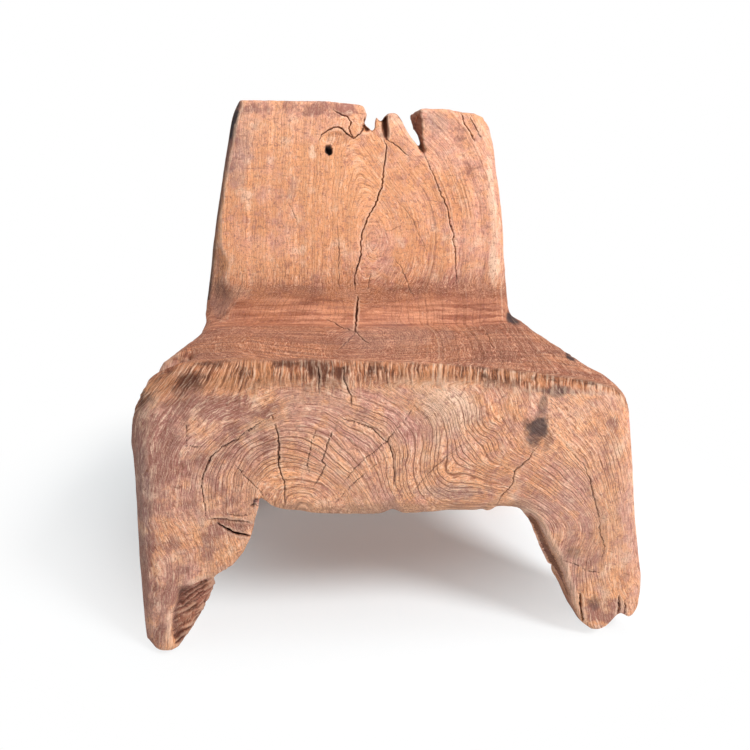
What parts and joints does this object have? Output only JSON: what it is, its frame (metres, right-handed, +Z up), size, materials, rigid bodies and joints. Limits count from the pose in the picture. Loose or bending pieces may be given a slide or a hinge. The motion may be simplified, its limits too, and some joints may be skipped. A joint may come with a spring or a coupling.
{
  "type": "carved log chair",
  "caption": "Low chair carved from one log: thick dished seat, reclined back with a broken top edge, arched front and splayed legs.",
  "frame": {"origin": "middle of the bounding box, on the floor under the feet", "axes": "+Z up, -Y the front face that a sitter's legs hang over, +X to the right as seen from the front"},
  "size_m": [0.6709, 0.59, 0.7374],
  "materials": {
    "wood": "weathered, unfinished, open checks"
  },
  "bodies": {
    "root": {"front_left_leg": "wood", "front_right_leg": "wood", "rear_left_leg": "wood", "rear_right_leg": "wood", "front_wall": "wood", "seat": "wood", "back_left_stave": "wood", "back_middle_stave": "wood", "back_right_stave": "wood", "back_corner_splinter": "wood"}
  },
  "joints": []
}
